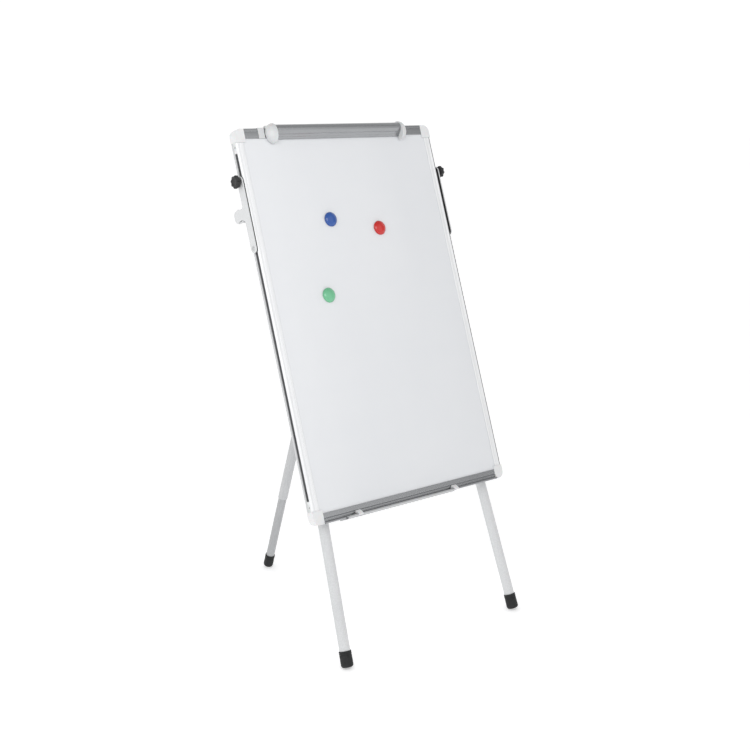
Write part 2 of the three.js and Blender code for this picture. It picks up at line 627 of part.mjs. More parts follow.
// The origin is the bottom centre of the whole easel's box.
const extent = new THREE.Box3().setFromObject(easel, true);
const centre = extent.getCenter(new THREE.Vector3());
easel.position.set(-centre.x, -centre.y, -extent.min.z);

export default easel;
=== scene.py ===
"""Looks of a tripod flipchart easel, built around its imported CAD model.

Every piece is made in millimetres in one of a few local frames (the board's plane and the
three legs), which come from the CAD joints, and is sized from the CAD nodes' boxes.
"""

import json
import math

import bmesh
import bpy
from mathutils import Matrix, Vector

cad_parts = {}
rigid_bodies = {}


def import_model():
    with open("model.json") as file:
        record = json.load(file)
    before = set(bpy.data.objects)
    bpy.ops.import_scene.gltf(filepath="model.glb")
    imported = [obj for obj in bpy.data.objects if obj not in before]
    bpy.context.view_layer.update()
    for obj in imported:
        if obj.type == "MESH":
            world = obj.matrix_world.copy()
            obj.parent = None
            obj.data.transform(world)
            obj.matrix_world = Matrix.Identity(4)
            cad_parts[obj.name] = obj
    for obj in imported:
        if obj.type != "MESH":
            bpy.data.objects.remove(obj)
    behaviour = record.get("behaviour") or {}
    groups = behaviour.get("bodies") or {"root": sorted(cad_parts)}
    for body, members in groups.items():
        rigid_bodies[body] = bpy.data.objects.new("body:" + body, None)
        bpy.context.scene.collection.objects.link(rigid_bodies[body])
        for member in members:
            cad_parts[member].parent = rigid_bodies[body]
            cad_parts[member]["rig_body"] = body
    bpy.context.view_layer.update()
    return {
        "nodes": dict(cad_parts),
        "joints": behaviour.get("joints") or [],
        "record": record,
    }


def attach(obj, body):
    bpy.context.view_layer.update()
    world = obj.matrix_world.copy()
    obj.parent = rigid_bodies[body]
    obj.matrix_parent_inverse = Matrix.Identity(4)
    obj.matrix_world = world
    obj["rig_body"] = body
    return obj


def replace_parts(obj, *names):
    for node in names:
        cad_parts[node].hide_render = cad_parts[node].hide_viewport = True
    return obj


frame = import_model()

MM = 0.001
GAP = 0.3                      # clearance between neighbours, as in the CAD
X, Z = Vector((1, 0, 0)), Vector((0, 0, 1))
SIDES = (("left", -1), ("right", 1))
JOINTS = {joint["name"]: joint for joint in frame["joints"]}
SLOTS = {row["node"]: row["material_slot"] for row in frame["record"]["subparts"]}
FACETS = 72                    # around a tube or a foot
FINE = 40                      # around a pin, a screw or a bore
HOLE_R = 3.3                   # hole for a pin, a rivet or a stud of 6 mm


# ---------------------------------------------------------------- local frames
class Place:
    """A local frame in millimetres, with its matrix to the row frame in metres."""

    def __init__(self, origin, x, y, z):
        turn = Matrix((x, y, z)).transposed().to_4x4()
        self.matrix = Matrix.Translation(origin) @ turn @ Matrix.Scale(MM, 4)
        self.inverse = self.matrix.inverted()

    def box(self, node):
        """Lowest and highest corner of a CAD node in this frame."""
        points = [self.inverse @ v.co for v in frame["nodes"][node].data.vertices]
        low = Vector(min(p[i] for p in points) for i in range(3))
        high = Vector(max(p[i] for p in points) for i in range(3))
        return low, high

    def centre(self, node):
        low, high = self.box(node)
        return (low + high) / 2


def board_place():
    """The board's plane: x across, y backwards from the frame's face, z up from its foot."""
    up = Vector(JOINTS["board_height"]["axis"]).normalized()
    back = up.cross(X)
    raw = Place(Vector(), X, back, up)
    face = raw.box("side_rail_left")[0].y
    foot = raw.box("corner_cap_bottom_left")[0].z
    return Place((back * face + up * foot) * MM, X, back, up)


def leg_place(leg):
    """A leg's frame: the origin is under its sole and z runs up its axis."""
    z = -Vector(JOINTS[f"{leg}_extend"]["axis"]).normalized()
    x = (X - z * X.dot(z)).normalized()
    return Place(Vector(JOINTS[f"{leg}_twist"]["pos_m"]), x, z.cross(x), z)


board = board_place()
LEAN = math.atan2(board.matrix[1][2], board.matrix[2][2])
CAP_LOW, CAP_HIGH = board.box("corner_cap_top_right")
RAIL_LOW, RAIL_HIGH = board.box("side_rail_right")
HALF_W, FRAME_D = RAIL_HIGH.x, RAIL_HIGH.y
BOARD_H = CAP_HIGH.z
CORNER = RAIL_LOW.z - GAP      # a cap's length along the side rail
GROOVE_FRONT = board.box("writing_surface")[0].y - GAP     # the frame's groove
GROOVE_BACK = board.box("backing_sheet")[1].y + GAP
PANEL_EDGE = board.box("writing_surface")[1]
SLOT = (4.2, 13.8)             # the side channel's mouth, behind the frame's face
HOLLOW = (2.4, 17.4)           # the channel's inside, behind the face
HOLLOW_IN = 12.4               # the channel's far wall, in from the rail's side
WALL = 2.4                     # the wall that the mouth is cut through
RAIL_R = 4                     # the rail's rounded outer corner


# ---------------------------------------------------------------- outlines
def arc(cx, cy, radius, start, end, steps):
    """Points along a circle from one angle to another, in degrees."""
    angles = [math.radians(start + (end - start) * i / steps) for i in range(steps + 1)]
    return [(cx + radius * math.cos(a), cy + radius * math.sin(a)) for a in angles]


def soften(outline, radius, steps=3, closed=True):
    """Rounds an outline's corners, each no further than its edges allow."""
    result = []
    last = len(outline) - 1
    for i, corner in enumerate(outline):
        here = Vector(corner)
        before = Vector(outline[i - 1]) - here
        after = Vector(outline[(i + 1) % len(outline)]) - here
        if after.length < 1e-6:
            continue
        if before.length < 1e-6:
            before = Vector(outline[i - 2]) - here
        straight = before.normalized().dot(after.normalized()) < -0.93
        if straight or (not closed and i in (0, last)):
            result.append(tuple(here))
            continue
        half = before.angle(after) / 2
        reach = min(radius / math.tan(half), 0.45 * min(before.length, after.length))
        start = here + before.normalized() * reach
        end = here + after.normalized() * reach
        for k in range(steps + 1):
            t = k / steps
            point = start * (1 - t) ** 2 + here * (2 * t * (1 - t)) + end * t ** 2
            result.append(tuple(point))
    return result


def curve_through(points, steps):
    """A smooth line through points (Catmull-Rom)."""
    knots = [Vector(p) for p in points]
    knots = [2 * knots[0] - knots[1], *knots, 2 * knots[-1] - knots[-2]]
    result = []
    for a, b, c, d in zip(knots, knots[1:], knots[2:], knots[3:]):
        for k in range(steps):
            t = k / steps
            result.append((b * 2 + (c - a) * t + (a * 2 - b * 5 + c * 4 - d) * t ** 2
                           + (b * 3 - a - c * 3 + d) * t ** 3) / 2)
    return [*result, knots[-2]]


# ---------------------------------------------------------------- solids
def prism(axis, outline, low, high):
    """An outline in the two other axes, in order, extruded along an axis."""
    def lift(point, height):
        a, b = point
        return {"x": (height, a, b), "y": (a, height, b), "z": (a, b, height)}[axis]

    bm = bmesh.new()
    rings = [[bm.verts.new(lift(p, h)) for p in outline] for h in (low, high)]
    for i in range(len(outline)):
        bm.faces.new((rings[0][i - 1], rings[0][i], rings[1][i], rings[1][i - 1]))
    for ring in rings:
        bm.faces.new(ring)
    return bm


def block(low, high):
    """A box from one corner to the other."""
    (x0, y0, z0), (x1, y1, z1) = low, high
    return prism("z", [(x0, y0), (x1, y0), (x1, y1), (x0, y1)], z0, z1)


def lathe(profile, segments=FACETS, axis="z"):
    """A turned piece from (radius, height) points, closed on itself or on its axis."""
    bm = bmesh.new()
    rings = []
    for r, h in profile:
        if r < 1e-6:
            rings.append([bm.verts.new((0, 0, h))])
            continue
        angles = [2 * math.pi * k / segments for k in range(segments)]
        rings.append([bm.verts.new((r * math.cos(a), r * math.sin(a), h)) for a in angles])
    pairs = list(zip(rings, rings[1:]))
    if len(rings[0]) > 1 and len(rings[-1]) > 1:
        pairs.append((rings[-1], rings[0]))
    for low, high in pairs:
        for k in range(segments):
            ring = [low[k - 1], low[k]] if len(low) > 1 else [low[0]]
            ring += [high[k], high[k - 1]] if len(high) > 1 else [high[0]]
            if len(ring) > 2:
                bm.faces.new(ring)
    return turned_to(bm, axis)


def turned_to(bm, axis):
    """Turns a piece made along z so that its axis is x or y."""
    turn = {"x": Matrix.Rotation(math.pi / 2, 4, "Y"), "y": Matrix.Rotation(-math.pi / 2, 4, "X")}
    if axis in turn:
        bm.transform(turn[axis])
    return bm


def rod(radius, low, high, axis="z", segments=FINE, edge=0.0):
    """A solid round bar, with rounded edges where edge isn't zero."""
    corners = [(0, low), (radius, low), (radius, high), (0, high)]
    profile = soften(corners, edge, closed=False) if edge else corners
    return lathe(profile, segments, axis)


def tube(outer, inner, low, high, axis="z", edge=0.4, segments=FACETS):
    """A hollow round tube with rounded ends."""
    corners = [(inner, low), (outer, low), (outer, high), (inner, high)]
    return lathe(soften(corners, edge), segments, axis)


def loft(rings):
    """Joins rings of points in order, and closes both ends."""
    bm = bmesh.new()
    made = [[bm.verts.new(p) for p in ring] for ring in rings]
    for low, high in zip(made, made[1:]):
        for k in range(len(low)):
            bm.faces.new((low[k - 1], low[k], high[k], high[k - 1]))
    bm.faces.new(made[0])
    bm.faces.new(made[-1])
    return bm


def sweep(path, radius, sides=12):
    """A round wire along a path of points."""
    points = [Vector(p) for p in path]
    rings = []
    normal = (points[1] - points[0]).orthogonal().normalized()
    for i, point in enumerate(points):
        ahead = points[min(i + 1, len(points) - 1)] - points[max(i - 1, 0)]
        ahead.normalize()
        normal = (normal - ahead * normal.dot(ahead)).normalized()
        side = ahead.cross(normal)
        angles = [2 * math.pi * k / sides for k in range(sides)]
        rings.append([point + normal * (radius * math.cos(a)) + side * (radius * math.sin(a))
                      for a in angles])
    return loft(rings)


def moved(bm, x, y, z):
    """Moves a piece, and returns it."""
    bmesh.ops.translate(bm, verts=bm.verts, vec=(x, y, z))
    return bm


def mirrored(bm):
    """The same piece for the other side of the board."""
    bm.transform(Matrix.Scale(-1, 4, X))
    bmesh.ops.reverse_faces(bm, faces=bm.faces)
    return bm


def sided(bm, side):
    """A piece made for the right, as it is on a side."""
    return bm if side > 0 else mirrored(bm)


def scratch_object(bm):
    """A short-lived object that holds a solid for a boolean."""
    bmesh.ops.recalc_face_normals(bm, faces=bm.faces)
    mesh = bpy.data.meshes.new("scratch")
    bm.to_mesh(mesh)
    bm.free()
    obj = bpy.data.objects.new("scratch", mesh)
    bpy.context.scene.collection.objects.link(obj)
    return obj


def combined(operation, base, tools):
    """Applies booleans, and returns the result with its doubled points merged."""
    objects = [scratch_object(bm) for bm in (base, *tools)]
    for tool in objects[1:]:
        modifier = objects[0].modifiers.new("boolean", "BOOLEAN")
        modifier.operation = operation
        modifier.solver = "EXACT"
        modifier.object = tool
    graph = bpy.context.evaluated_depsgraph_get()
    made = bpy.data.meshes.new_from_object(objects[0].evaluated_get(graph))
    result = bmesh.new()
    result.from_mesh(made)
    bmesh.ops.remove_doubles(result, verts=result.verts, dist=0.004)
    bmesh.ops.dissolve_limit(result, angle_limit=math.radians(0.5), verts=result.verts,
                             edges=result.edges)
    for obj in objects:
        mesh = obj.data
        bpy.data.objects.remove(obj)
        bpy.data.meshes.remove(mesh)
    bpy.data.meshes.remove(made)
    return result


def cut(base, *tools):
    return combined("DIFFERENCE", base, tools)


def join(base, *others):
    return combined("UNION", base, others)


def common(base, other):
    return combined("INTERSECT", base, [other])


# ---------------------------------------------------------------- materials
MATERIALS = {}


def add_node(tree, kind, inputs=(), **settings):
    """A shader node with its settings, its constant inputs and its links."""
    node = tree.nodes.new(f"ShaderNode{kind}")
    for key, value in settings.items():
        setattr(node, key, value)
    for key, value in dict(inputs).items():
        if isinstance(value, bpy.types.NodeSocket):
            tree.links.new(value, node.inputs[key])
        else:
            node.inputs[key].default_value = value
    return node


class Finish:
    """A procedural material. Its patterns lie in the piece's own space, in metres."""

    def __init__(self, name, **constants):
        self.material = MATERIALS[name] = bpy.data.materials.new(name)
        self.material.use_nodes = True
        self.tree = self.material.node_tree
        self.links = self.tree.links
        self.shader = self.tree.nodes["Principled BSDF"]
        for socket, value in constants.items():
            self.shader.inputs[socket.replace("_", " ")].default_value = value
        self.space = self.add("TexCoord").outputs["Object"]
        self.normal = None

    def add(self, kind, inputs=(), **settings):
        return add_node(self.tree, kind, inputs, **settings)

    def turned(self, angle):
        """This space turned about X, so that a pattern follows the leaning board."""
        inputs = {"Vector": self.space, "Rotation": (angle, 0, 0)}
        return self.add("Mapping", inputs).outputs["Vector"]

    def noise(self, scale, detail=2.0, stretch=(1, 1, 1), space=None):
        inputs = {"Vector": space or self.space, "Scale": stretch}
        scaled = self.add("Mapping", inputs).outputs["Vector"]
        inputs = {"Vector": scaled, "Scale": scale, "Detail": detail, "Roughness": 0.55}
        return self.add("TexNoise", inputs).outputs["Fac"]

    def cells(self, scale, output="Distance", feature="F1"):
        inputs = {"Vector": self.space, "Scale": scale}
        return self.add("TexVoronoi", inputs, feature=feature).outputs[output]

    def inside(self, space, across, depth, both_sides=True):
        """1 where x, or |x|, and y lie between two pairs of limits in millimetres, else 0."""
        axes = self.add("SeparateXYZ", {"Vector": space}).outputs
        wide = axes["X"]
        if both_sides:
            wide = self.add("Math", {0: wide}, operation="ABSOLUTE").outputs["Value"]
        result = []
        for value, (low, high) in ((wide, across), (axes["Y"], depth)):
            limits = {0: value, 1: (low + high) / 2 * MM, 2: (high - low) / 2 * MM}
            result.append(self.add("Math", limits, operation="COMPARE").outputs["Value"])
        both = self.add("Math", {0: result[0], 1: result[1]}, operation="MULTIPLY")
        return both.outputs["Value"]

    def ranged(self, factor, low, high, source=(0.3, 0.7)):
        inputs = {"Value": factor, "From Min": source[0], "From Max": source[1],
                  "To Min": low, "To Max": high}
        return self.add("MapRange", inputs).outputs["Result"]

    def tint(self, factor, dark, light, source=(0.3, 0.7)):
        """Base colour between two colours."""
        node = self.add("ValToRGB", {"Fac": factor})
        ramp = node.color_ramp
        for element, place, color in zip(ramp.elements, source, (dark, light)):
            element.position = place
            element.color = (*color, 1)
        return self.paint(node.outputs["Color"])

    def paint(self, color):
        self.links.new(color, self.shader.inputs["Base Color"])
        return color

    def over(self, below, color, factor, low=0.0, high=1.0):
        """Lays a colour over what is below, by a factor from low to high."""
        mix = self.add("Mix", data_type="RGBA")
        sockets = [s for s in mix.inputs if s.enabled]
        self.links.new(self.ranged(factor, low, high), sockets[0])
        self.links.new(below, sockets[1])
        sockets[2].default_value = (*color, 1)
        result = [s for s in mix.outputs if s.enabled][0]
        return self.paint(result)

    def gloss(self, factor, low, high, source=(0.3, 0.7)):
        """Roughness between two values."""
        self.links.new(self.ranged(factor, low, high, source), self.shader.inputs["Roughness"])

    def relief(self, height, depth_mm):
        """Bump, laid over any bump already there. The depth is in millimetres."""
        inputs = {"Height": height, "Distance": depth_mm * MM, "Strength": 1.0}
        if self.normal:
            inputs["Normal"] = self.normal
        self.normal = self.add("Bump", inputs).outputs["Normal"]
        self.links.new(self.normal, self.shader.inputs["Normal"])


def white_enamel():
    """Gloss lacquer on steel sheet: faint waves, and the haze that wiped ink leaves."""
    finish = Finish("white_enamel", IOR=1.5, Coat_Weight=0.25, Coat_Roughness=0.08)
    flat = finish.turned(LEAN)
    wiped = finish.noise(5, 3, (1.0, 1.0, 0.35), flat)
    below = finish.tint(wiped, (0.735, 0.747, 0.768), (0.757, 0.768, 0.787))
    finish.over(below, (0.69, 0.71, 0.75), finish.noise(14, 5, (0.5, 1, 1.6), flat), 0.0, 0.12)
    finish.gloss(finish.noise(9, 4, (1, 1, 0.3), flat), 0.16, 0.24)
    finish.relief(finish.noise(12, 1), 0.12)
    finish.relief(finish.noise(650, 1), 0.004)


def aluminium(name, dark, light, rough, grain, angle=0.0, metallic=1.0, channel=()):
    """Anodised extrusion: die lines along its length, fine tooth and small tone changes.

    The channel argument lists regions of painted shade, darker than the metal round them: the
    colour, the limits of x and of the depth in millimetres, and whether the region is on both sides
    of the board.
    """
    finish = Finish(name, Metallic=metallic, Coat_Weight=0.08, Coat_Roughness=0.2)
    flat = finish.turned(angle)
    lines = finish.noise(60, 4, grain, flat)
    cloud = finish.noise(7, 3, (1, 1, 1))
    below = finish.tint(lines, dark, light, (0.25, 0.75))
    shade = tuple(0.8 * c for c in dark)
    below = finish.over(below, shade, cloud, 0.0, 0.18)
    # painted shade laid over the metal in each listed region
    for color, across, depth, both_sides in channel:
        below = finish.over(below, color, finish.inside(flat, across, depth, both_sides))
    finish.gloss(lines, *rough)
    finish.relief(lines, 0.012)
    finish.relief(finish.noise(2500, 1), 0.003)


def moulded(name, dark, light, rough, tooth=0.006, **constants):
    """Moulded plastic: a fine spark-eroded tooth over slow flow marks."""
    finish = Finish(name, **constants)
    flow = finish.noise(28, 3)
    below = finish.tint(flow, dark, light)
    finish.over(below, tuple(0.72 * c for c in dark), finish.noise(160, 6), 0.0, 0.10)
    finish.gloss(finish.noise(90, 4), *rough)
    finish.relief(finish.noise(1800, 2), tooth)
    finish.relief(flow, 0.03)


def powder_coat(name, dark, light, rough):
    """Powder coat: orange peel of about a millimetre, with rare tiny pits."""
    finish = Finish(name, IOR=1.48, Coat_Weight=0.12, Coat_Roughness=0.25)
    below = finish.tint(finish.noise(9, 3), dark, light)
    specks = finish.cells(420)
    finish.over(below, tuple(0.6 * c for c in dark), specks, 0.22, 0.0)
    finish.gloss(finish.noise(120, 3), *rough)
    finish.relief(finish.noise(900, 2), 0.016)
    finish.relief(finish.noise(5200, 1), 0.004)


def foot_rubber():
    """Moulded rubber, dusty towards the floor."""
    finish = Finish("foot_rubber", Specular_IOR_Level=0.35)
    below = finish.tint(finish.noise(60, 4), (0.010, 0.0105, 0.011), (0.018, 0.019, 0.020))
    height = finish.add("SeparateXYZ", {"Vector": finish.space}).outputs["Z"]
    low = finish.ranged(height, 1.0, 0.0, (0.0, 0.022))
    grain = finish.add("Math", {0: low, 1: finish.noise(700, 5)}, operation="MULTIPLY")
    finish.over(below, (0.13, 0.125, 0.115), grain.outputs["Value"], 0.0, 0.55)
    finish.gloss(finish.noise(200, 4), 0.5, 0.7)
    finish.relief(finish.noise(1500, 3), 0.03)


def steel(name, dark, light, rough):
    """Zinc-plated steel: brushed a little, with cloudy plating."""
    finish = Finish(name, Metallic=1.0)
    below = finish.tint(finish.noise(120, 5), dark, light)
    finish.over(below, (0.62, 0.6, 0.5), finish.noise(45, 2), 0.0, 0.18)
    finish.gloss(finish.noise(260, 4), *rough)
    finish.relief(finish.noise(2200, 2, (1, 1, 0.2)), 0.006)


def honeycomb_core():
    """Paper honeycomb: brown walls around darker cells."""
    finish = Finish("honeycomb_core", Roughness=0.9)
    walls = finish.cells(110, feature="DISTANCE_TO_EDGE")
    below = finish.tint(walls, (0.52, 0.38, 0.2), (0.2, 0.13, 0.06), (0.02, 0.12))
    finish.over(below, (0.35, 0.27, 0.16), finish.noise(300, 4), 0.0, 0.4)
    finish.relief(walls, 0.4)


def zinc_sheet():
    """Galvanised sheet: crystals that differ in tone and gloss."""
    finish = Finish("zinc_sheet", Metallic=0.85)
    crystals = finish.cells(55, "Color")
    tone = finish.add("SeparateXYZ", {"Vector": crystals}).outputs["X"]
    below = finish.tint(tone, (0.43, 0.445, 0.46), (0.56, 0.57, 0.585), (0.0, 1.0))
    finish.over(below, (0.36, 0.37, 0.385), finish.noise(6, 5), 0.0, 0.25)
    finish.gloss(tone, 0.34, 0.52, (0, 1))
    finish.relief(finish.noise(900, 3), 0.01)


def ferrite():
    """Sintered ferrite: dark, fine-grained."""
    finish = Finish("ferrite", Metallic=0.2)
    finish.tint(finish.noise(1500, 4), (0.018, 0.018, 0.02), (0.05, 0.05, 0.055))
    finish.gloss(finish.noise(400, 3), 0.45, 0.65)
    finish.relief(finish.noise(1800, 3), 0.02)


ACROSS = (0.02, 30, 30)        # die lines along X
UPWARD = (30, 30, 0.02)        # and up the board
SILVER = ((0.83, 0.837, 0.85), (0.88, 0.885, 0.895), (0.26, 0.36))
GREY = ((0.34, 0.348, 0.36), (0.41, 0.418, 0.43), (0.2, 0.28))
MILL = ((0.50, 0.505, 0.515), (0.58, 0.585, 0.595), (0.3, 0.4))
FACE = -board.inverse.translation.y            # the frame's face, along the turned space's Y
SIDE_FACE = ((HALF_W - WALL - 0.1, HALF_W + 1), (FACE + SLOT[0] - 0.1, FACE + 19.8))
INSIDE = ((HALF_W - HOLLOW_IN - 0.2, HALF_W - WALL + 0.1),
          (FACE + HOLLOW[0] - 0.1, FACE + HOLLOW[1] + 0.1))
RAIL_CORNER = ((HALF_W - RAIL_R - 0.3, HALF_W + 1), (FACE - 0.2, FACE + SLOT[0] - 0.1))
# Painted shade on the side rails: a darker side face, a dark inside of the channel, and a painted
# dark line along the right rail's outer corner
PAINTED_SHADE = (
    ((0.60, 0.606, 0.612), *SIDE_FACE, True),
    ((0.29, 0.294, 0.30), *INSIDE, True),
    ((0.045, 0.046, 0.048), *RAIL_CORNER, False),     # painted dark line on the right rail only, standing in for shade on its rounded outer corner
)
CAP_GLOSS = (0.3, 0.42)
CAP_SKIN = {"Subsurface_Weight": 0.06, "Subsurface_Scale": 0.002}
MAGNET_GLOSS = (0.1, 0.18)
MAGNET_SKIN = {"tooth": 0.002, "Coat_Weight": 0.3, "Coat_Roughness": 0.06}

white_enamel()
honeycomb_core()
zinc_sheet()
aluminium("silver_rail", *SILVER, UPWARD, LEAN, 0.3, PAINTED_SHADE)
aluminium("silver_across", *MILL, ACROSS, 0.0, 0.7)
aluminium("grey_aluminium", *GREY, ACROSS)
moulded("white_plastic", (0.74, 0.745, 0.75), (0.775, 0.78, 0.785), CAP_GLOSS, **CAP_SKIN)
moulded("pale_grey_plastic", (0.63, 0.64, 0.65), (0.67, 0.675, 0.68), CAP_GLOSS, **CAP_SKIN)
moulded("blue_plastic", (0.016, 0.075, 0.31), (0.022, 0.095, 0.37), MAGNET_GLOSS, **MAGNET_SKIN)
moulded("red_plastic", (0.50, 0.012, 0.010), (0.58, 0.018, 0.014), MAGNET_GLOSS, **MAGNET_SKIN)
moulded("green_plastic", (0.13, 0.44, 0.235), (0.16, 0.50, 0.28), MAGNET_GLOSS, **MAGNET_SKIN)
ferrite()
powder_coat("white_powder_coat", (0.66, 0.67, 0.68), (0.70, 0.708, 0.715), (0.34, 0.46))
powder_coat("grey_powder_coat", (0.62, 0.63, 0.64), (0.66, 0.668, 0.675), (0.3, 0.42))
# the rear leg's coats: the front legs' powder coat painted darker as shade, deeper on the lower
# tube
powder_coat("rear_upper_painted_shade", (0.52, 0.528, 0.538), (0.56, 0.567, 0.575), (0.34, 0.46))
powder_coat("rear_lower_painted_shade", (0.40, 0.407, 0.416), (0.44, 0.446, 0.455), (0.3, 0.42))
moulded("black_plastic", (0.010, 0.010, 0.011), (0.016, 0.016, 0.017), (0.34, 0.5), 0.02)
moulded("nylon", (0.62, 0.62, 0.57), (0.68, 0.68, 0.63), (0.4, 0.55), 0.01,
        Subsurface_Weight=0.15, Subsurface_Scale=0.003)
steel("bright_steel", (0.50, 0.51, 0.53), (0.64, 0.65, 0.67), (0.2, 0.34))
foot_rubber()


# ---------------------------------------------------------------- pieces
def piece(name, bm, place, body, slot, bevel=0.0, finish=None, sharp=32):
    """A finished piece, carried by a CAD body. Bevel and all other sizes are in millimetres."""
    bmesh.ops.recalc_face_normals(bm, faces=bm.faces)
    bm.transform(place.matrix)
    mesh = bpy.data.meshes.new(name)
    bm.to_mesh(mesh)
    bm.free()
    mesh.shade_smooth()
    obj = bpy.data.objects.new(name, mesh)
    bpy.context.scene.collection.objects.link(obj)
    mesh.materials.append(MATERIALS[finish or slot])
    if bevel:
        modifier = obj.modifiers.new("edges", "BEVEL")
        modifier.width = bevel * MM
        modifier.segments = 3
        modifier.limit_method = "ANGLE"
        modifier.angle_limit = math.radians(sharp)
        modifier.harden_normals = True
    else:
        mesh.set_sharp_from_angle(angle=math.radians(sharp))
    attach(obj, body)
    return obj


def remake(node, bm, place=board, bevel=0.0, finish=None, sharp=32):
    """A finer piece that stands for a CAD node, on its body and in its material slot."""
    body = frame["nodes"][node]["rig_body"]
    obj = piece(f"{node}_visual", bm, place, body, SLOTS[node], bevel, finish, sharp)
    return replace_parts(obj, node)


def dress(node):
    """A CAD node that stays: only its material changes."""
    obj = frame["nodes"][node]
    for slot in obj.material_slots:
        slot.material = MATERIALS[SLOTS[node]]


def screw_head(radius, height, axis, facing):
    """A pan head with a cross recess; its seat is at the origin, and it faces along the axis."""
    profile = [(0, 0), (radius, 0), (radius, height * 0.35)]
    profile += [(radius * math.cos(a), height * (0.35 + 0.65 * math.sin(a)))
                for a in (math.pi / 2 * k / 8 for k in range(1, 8))]
    head = lathe([*profile, (0, height)], FINE)
    arm, half, floor = radius * 0.55, radius * 0.11, height * 0.45
    slots = [block((-arm, -half, floor), (arm, half, height + 1)),
             block((-half, -arm, floor), (half, arm, height + 1))]
    head = cut(head, *slots)
    if facing < 0:
        head.transform(Matrix.Rotation(math.pi, 4, "X"))
    return turned_to(head, axis)


# ---------------------------------------------------------------- board
def add_side_rails():
    """Rolled front lip with a bead groove, a T-channel to the side and a panel groove."""
    w, inner = HALF_W, RAIL_LOW.x
    for name, side in SIDES:
        low, high = board.box(f"side_rail_{name}")
        outline = [
            (inner, 0.5), (inner + 1, 0), (w - 9.9, 0), (w - 9.3, 0.9), (w - 8.7, 0),
            *arc(w - RAIL_R, RAIL_R, RAIL_R, -90, 0, 12), (w, SLOT[0]), (w - WALL, SLOT[0]),
            (w - WALL, HOLLOW[0]), (w - HOLLOW_IN, HOLLOW[0]), (w - HOLLOW_IN, HOLLOW[1]),
            (w - WALL, HOLLOW[1]), (w - WALL, SLOT[1]), (w, SLOT[1]),
            (w, FRAME_D), (w - 15, FRAME_D), (w - 15, 16.6), (inner + 2, 16.6),
            (inner + 2, GROOVE_BACK), (w - 14.4, GROOVE_BACK),
            (w - 14.4, GROOVE_FRONT), (inner, GROOVE_FRONT),
        ]
        outline = soften([(side * x, y) for x, y in outline], 0.35)
        remake(f"side_rail_{name}", prism("z", outline, low.z, high.z), finish="silver_rail")


def add_cross_rails():
    """Top rail with a clamp slot, and bottom rail with a clip groove and a front lip."""
    t = BOARD_H
    d = FRAME_D
    front, back = GROOVE_FRONT, GROOVE_BACK
    top = [
        (0.6, t - 24), (0, t - 23.4), (0, t - 8.4), (0.8, t - 8), (0, t - 7.6), (0, t), (6.5, t),
        (6.5, t - 1.6), (4, t - 1.6), (4, t - 7), (14, t - 7), (14, t - 1.6), (11.5, t - 1.6),
        (11.5, t), (d, t), (d, t - 11), (16.6, t - 11), (16.6, t - 22), (back, t - 22),
        (back, t - 13), (front, t - 13), (front, t - 24),
    ]
    bottom = [
        (d, 0), (-4, 0), *arc(-4, 2.5, 2.5, 270, 90, 12), (-3, 5), (3, 5.4), (3, 7.8),
        (-1.2, 7.8), (-1.6, 8.2), (-1.6, 11), (-1.2, 11.4), (1.5, 11.6), (1.5, 12.6), (0, 13),
        (0, 24), (front, 24), (front, 13), (back, 13), (back, 22), (16.6, 22), (16.6, 11), (d, 11),
    ]
    for name, outline in (("top_rail", top), ("bottom_rail", bottom)):
        low, high = board.box(name)
        remake(name, prism("x", soften(outline, 0.35), low.x, high.x))


def corner_cap():
    """The top right cap: a rounded block, a tongue over the slot's end and a plug in the rail."""
    w, t, side = HALF_W, BOARD_H, CAP_HIGH.x
    outline = [(CAP_LOW.x, t - CORNER), (side, t - CORNER), *arc(side - 17, t - 17, 17, 0, 90, 20),
               (CAP_LOW.x, t)]
    body = prism("y", outline, CAP_LOW.y, CAP_HIGH.y)
    low, high = CAP_LOW.z, t - CORNER + 2
    tongue_outline = soften([(4.5, low), (13.5, low), (13.5, high), (4.5, high)], 2.4, 6)
    tongue = prism("x", tongue_outline, w - 4, w - 0.4)
    pocket_outline = [(6.2, t - 48), (11.8, t - 48), (11.8, t - 34.5), (6.2, t - 34.5)]
    pocket = prism("x", soften(pocket_outline, 2.0, 6), w - 1.6, w + 2)
    plug = block((w - 12, 2.8, low), (w - 2.8, 17, high))
    panel_end = (PANEL_EDGE.x + GAP, GROOVE_BACK, PANEL_EDGE.z + GAP)
    room = block((-w, GROOVE_FRONT, 0), panel_end)
    return cut(join(body, tongue, plug), room, pocket)


def from_end(inset, flip):
    """A height, counted from the board's top or from its foot."""
    return BOARD_H - inset if flip > 0 else inset


def add_corner_caps():
    """Four caps, each with one screw in its tongue and two in its back."""
    for end, flip in (("top", 1), ("bottom", -1)):
        for name, side in SIDES:
            cap = sided(corner_cap(), side)
            if flip < 0:
                cap.transform(Matrix.Translation((0, 0, BOARD_H)) @ Matrix.Scale(-1, 4, Z))
                bmesh.ops.reverse_faces(cap, faces=cap.faces)
            remake(f"corner_cap_{end}_{name}", cap, bevel=0.7)
            head = screw_head(2.5, 1.4, "x", side)
            head = moved(head, side * (HALF_W - 1.6), 9, from_end(41.5, flip))
            piece(f"tongue_screw_{end}_{name}", head, board, "board", "bright_steel")
            for mark, x, inset in (("a", HALF_W - 21, 9), ("b", HALF_W - 9, 23)):
                head = screw_head(3.2, 1.6, "y", 1)
                head = moved(head, side * x, FRAME_D + 0.8, from_end(inset, flip))
                piece(f"back_screw_{end}_{name}_{mark}", head, board, "board", "bright_steel")


# ---------------------------------------------------------------- paper clamp
HINGE = board.centre("clamp_pin_left")
PIN_LOW, PIN_HIGH = board.box("clamp_pin_right")
PIN_R = (PIN_HIGH.z - PIN_LOW.z) / 2
BAR_END = board.box("clamp_bar")[1].x
CLAMP_END = board.box("clamp_end_cap_right")[1].x


